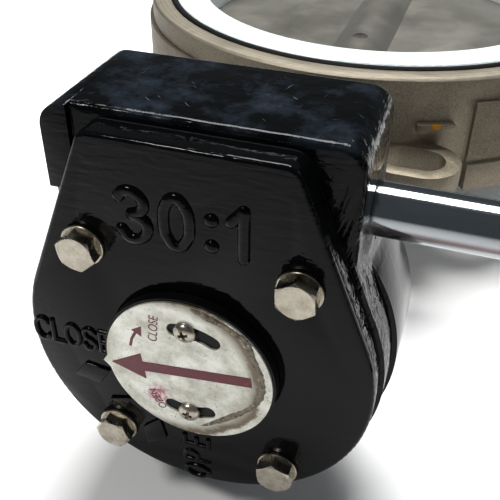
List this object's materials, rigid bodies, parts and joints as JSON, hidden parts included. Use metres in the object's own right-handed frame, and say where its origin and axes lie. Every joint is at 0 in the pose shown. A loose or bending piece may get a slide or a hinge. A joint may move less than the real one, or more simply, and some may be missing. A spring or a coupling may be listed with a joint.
{
  "type": "butterfly valve",
  "caption": "Wafer butterfly valve with a PTFE-lined stainless body, a worm-gear operator with a dial indicator, and a handwheel that turns the disc a quarter turn.",
  "frame": {"origin": "valve centre, where the stem axis crosses the flow axis at the middle of the disc", "axes": "+Z along the flow axis, -Y along the stem towards the gearbox, +X along the worm shaft towards the handwheel"},
  "size_m": [0.4514, 0.6813, 0.3],
  "materials": {
    "cast_stainless": "as-cast, blasted",
    "ptfe": "satin white",
    "black_rubber": "matt",
    "disc_steel": "blasted stainless",
    "stem_steel": "ground",
    "bronze": "machined bronze",
    "black_paint": "gloss black enamel over cast iron",
    "fastener_steel": "bright stainless",
    "bearing_steel": "ground",
    "shaft_chrome": "hard chrome",
    "plate_metal": "satin, scuffed",
    "red_print": "dark red print"
  },
  "bodies": {
    "valve": {"valve_body": "cast_stainless", "liner": "ptfe", "backing_ring": "black_rubber", "stem_bushes": "bronze", "stem_packing": "black_rubber", "bottom_cap": "cast_stainless", "cap_screws": "fastener_steel", "casing": "black_paint", "cover": "black_paint", "cover_gasket": "black_rubber", "cover_seal": "black_rubber", "cover_washers": "fastener_steel", "cover_bolts": "fastener_steel", "flange_screws": "fastener_steel", "flange_washers": "fastener_steel", "stop_screws": "fastener_steel", "stop_nuts": "fastener_steel", "worm_bearings": "bearing_steel", "shaft_seal": "black_rubber", "end_plug": "black_paint"},
    "stem_set": {"disc": "disc_steel", "stem": "stem_steel", "lower_stem": "stem_steel", "disc_pins": "stem_steel", "worm_wheel": "bronze", "wheel_key": "stem_steel", "indicator_boss": "black_paint", "indicator_plate": "plate_metal", "indicator_arrow": "red_print", "indicator_screws": "fastener_steel"},
    "worm_set": {"worm": "stem_steel", "worm_shaft": "shaft_chrome", "worm_pin": "stem_steel", "handwheel": "black_paint", "handwheel_pin": "stem_steel", "handwheel_washer": "fastener_steel", "handwheel_nut": "fastener_steel"}
  },
  "joints": [
    {"name": "stem_turn", "type": "hinge", "parent": "valve", "child": "stem_set", "pos_m": [0, 0, 0], "axis": [0, -1, 0], "range_deg": [0, 90]},
    {"name": "handwheel_turn", "type": "hinge", "parent": "valve", "child": "worm_set", "pos_m": [0, -0.3213, 0.0575], "axis": [1, 0, 0], "range_deg": [0, 2700]}
  ],
  "couplings": [
    {"joint": "handwheel_turn", "follows": "stem_turn", "ratio": 30}
  ]
}
